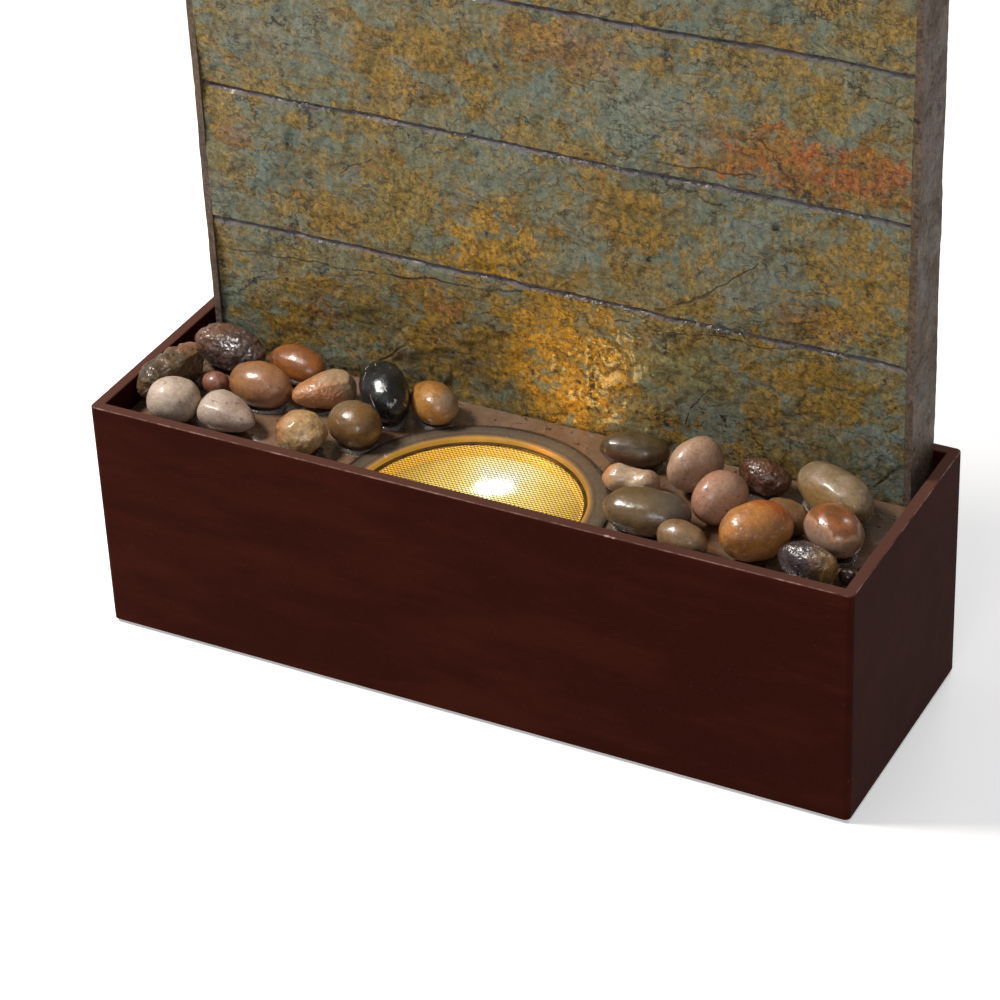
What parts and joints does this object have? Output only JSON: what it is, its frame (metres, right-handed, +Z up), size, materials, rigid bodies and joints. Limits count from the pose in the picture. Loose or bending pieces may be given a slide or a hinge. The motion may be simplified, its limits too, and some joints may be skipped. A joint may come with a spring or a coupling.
{
  "type": "tabletop water fountain",
  "caption": "Tabletop fountain: rectangular painted tub with a pebble deck, a round lit screened port and an upright slate-faced wall.",
  "frame": {"origin": "middle of the underside of the base pad, on the surface that the fountain stands on", "axes": "+Z up, +X to the right seen from the front, +Y towards the slate wall at the back"},
  "size_m": [0.406, 0.136, 0.506],
  "materials": {
    "foam": "matte",
    "tub_paint": "satin",
    "deck_resin": "wet",
    "ring_resin": "wet",
    "screen_wire": "woven",
    "slate": "riven",
    "side_slate": "riven",
    "cap_slate": "riven",
    "casing_plastic": "moulded",
    "trough_plastic": "moulded",
    "hose_vinyl": "clear",
    "steel": "plain",
    "pump_plastic": "moulded",
    "ceramic": "ground",
    "rubber": "moulded",
    "core_steel": "laminated",
    "copper": "enamelled",
    "board": "coated",
    "lens": "clear",
    "pebble": "wet"
  },
  "bodies": {
    "root": {"back_cover_screws": "steel", "base_pad": "foam", "cord_grommet": "rubber", "hose_clips": "steel", "impeller_shaft": "ceramic", "lamp_yoke": "steel", "pebble_agate": "pebble", "pebble_banded_grey": "pebble", "pebble_beige_flat": "pebble", "pebble_beige_round": "pebble", "pebble_black_veined": "pebble", "pebble_cream_round": "pebble", "pebble_dark_lumpy": "pebble", "pebble_grey_patch": "pebble", "pebble_olive_egg": "pebble", "pebble_olive_large": "pebble", "pebble_orange_egg": "pebble", "pebble_orange_large": "pebble", "pebble_pink_tilted": "pebble", "pebble_pink_upright": "pebble", "pebble_rough_brown": "pebble", "pebble_speckled_peanut": "pebble", "pebble_streaky_brown": "pebble", "pebble_tan_egg": "pebble", "port_ring": "ring_resin", "pump_chamber_plate": "pump_plastic", "pump_hose": "hose_vinyl", "pump_housing": "pump_plastic", "pump_suction_cups": "rubber", "riser_elbow": "trough_plastic", "riser_hose": "hose_vinyl", "rock_deck": "deck_resin", "shaft_bushes": "rubber", "side_slate_left": "side_slate", "side_slate_right": "side_slate", "slate_course_1": "slate", "slate_course_2": "slate", "slate_course_3": "slate", "slate_course_4": "slate", "slate_course_5": "slate", "small_pebbles": "pebble", "spill_trough": "trough_plastic", "stator_coil": "copper", "stator_core": "core_steel", "tub": "tub_paint", "wall_back_cover": "casing_plastic", "wall_base_screws": "steel", "wall_casing": "casing_plastic"},
    "screen": {"port_screen": "screen_wire"},
    "cap": {"top_cap": "cap_slate"},
    "rotor": {"impeller": "pump_plastic"},
    "intake": {"pump_intake_cover": "pump_plastic"},
    "dial": {"pump_flow_dial": "pump_plastic"},
    "lamp": {"lamp_housing": "pump_plastic", "lamp_board": "board", "lamp_lens": "lens", "lamp_gasket": "rubber", "lamp_bezel": "pump_plastic", "lamp_knobs": "pump_plastic"}
  },
  "joints": [
    {"name": "screen_lift", "type": "slide", "parent": "root", "child": "screen", "axis": [0, 0, 1], "range_m": [0, 0.08]},
    {"name": "cap_lift", "type": "slide", "parent": "root", "child": "cap", "axis": [0, 0, 1], "range_m": [0, 0.06]},
    {"name": "impeller_spin", "type": "hinge", "parent": "root", "child": "rotor", "pos_m": [-0.12, -0.008, 0.033], "axis": [0, 1, 0], "continuous": true},
    {"name": "intake_pull", "type": "slide", "parent": "root", "child": "intake", "axis": [0, -1, 0], "range_m": [0, 0.025]},
    {"name": "flow_turn", "type": "hinge", "parent": "intake", "child": "dial", "pos_m": [-0.12, -0.0283, 0.033], "axis": [0, -1, 0], "range_deg": [0, 90]},
    {"name": "lamp_tilt", "type": "hinge", "parent": "root", "child": "lamp", "pos_m": [-0.004, -0.016, 0.081], "axis": [1, 0, 0], "range_deg": [-15, 15]}
  ]
}
